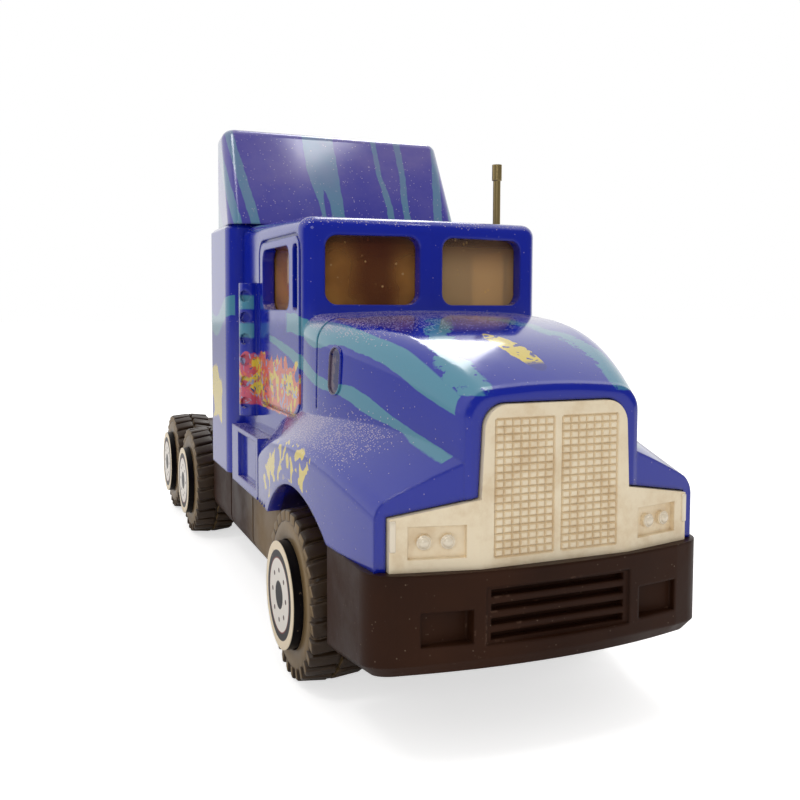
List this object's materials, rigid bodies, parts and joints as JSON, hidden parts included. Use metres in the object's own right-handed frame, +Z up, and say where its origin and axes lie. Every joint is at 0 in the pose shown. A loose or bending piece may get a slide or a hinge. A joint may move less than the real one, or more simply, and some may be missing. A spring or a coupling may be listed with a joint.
{
  "type": "toy tractor truck",
  "caption": "Small die-cast toy of a long-nose road tractor with sleeper, roof fairing and free-rolling wheel sets.",
  "frame": {"origin": "on the floor, under the centre of the overall box", "axes": "+X to the truck's own left, -Y forward, +Z up"},
  "size_m": [0.03, 0.095, 0.0507],
  "materials": {
    "blue_paint": "glossy enamel",
    "black_plastic": "satin moulded",
    "amber_window": "tinted clear plastic",
    "pale_plastic": "silvered cream",
    "brass": "drawn wire",
    "rivet_metal": "spun head",
    "axle_steel": "drawn wire",
    "hub_plastic": "printed face",
    "tyre_plastic": "moulded lugs"
  },
  "bodies": {
    "chassis": {"base": "black_plastic", "cab_and_hood": "blue_paint", "glazing": "amber_window", "sleeper": "blue_paint", "roof_fairing": "blue_paint", "grille_insert": "pale_plastic", "coupling_plate": "black_plastic", "roof_aerial": "brass", "front_rivet": "rivet_metal", "rear_rivet": "rivet_metal"},
    "front_wheels": {"front_axle": "axle_steel", "front_hub_right": "hub_plastic", "front_hub_left": "hub_plastic", "front_tyre_right": "tyre_plastic", "front_tyre_left": "tyre_plastic"},
    "middle_wheels": {"middle_axle": "axle_steel", "middle_hub_right": "hub_plastic", "middle_hub_left": "hub_plastic", "middle_tyre_right": "tyre_plastic", "middle_tyre_left": "tyre_plastic"},
    "rear_wheels": {"rear_axle": "axle_steel", "rear_hub_right": "hub_plastic", "rear_hub_left": "hub_plastic", "rear_tyre_right": "tyre_plastic", "rear_tyre_left": "tyre_plastic"}
  },
  "joints": [
    {"name": "front_wheels_roll", "type": "hinge", "parent": "chassis", "child": "front_wheels", "pos_m": [0, -0.0284, 0.0071], "axis": [1, 0, 0], "continuous": true},
    {"name": "middle_wheels_roll", "type": "hinge", "parent": "chassis", "child": "middle_wheels", "pos_m": [0, 0.0232, 0.0071], "axis": [1, 0, 0], "continuous": true},
    {"name": "rear_wheels_roll", "type": "hinge", "parent": "chassis", "child": "rear_wheels", "pos_m": [0, 0.039, 0.0071], "axis": [1, 0, 0], "continuous": true}
  ]
}
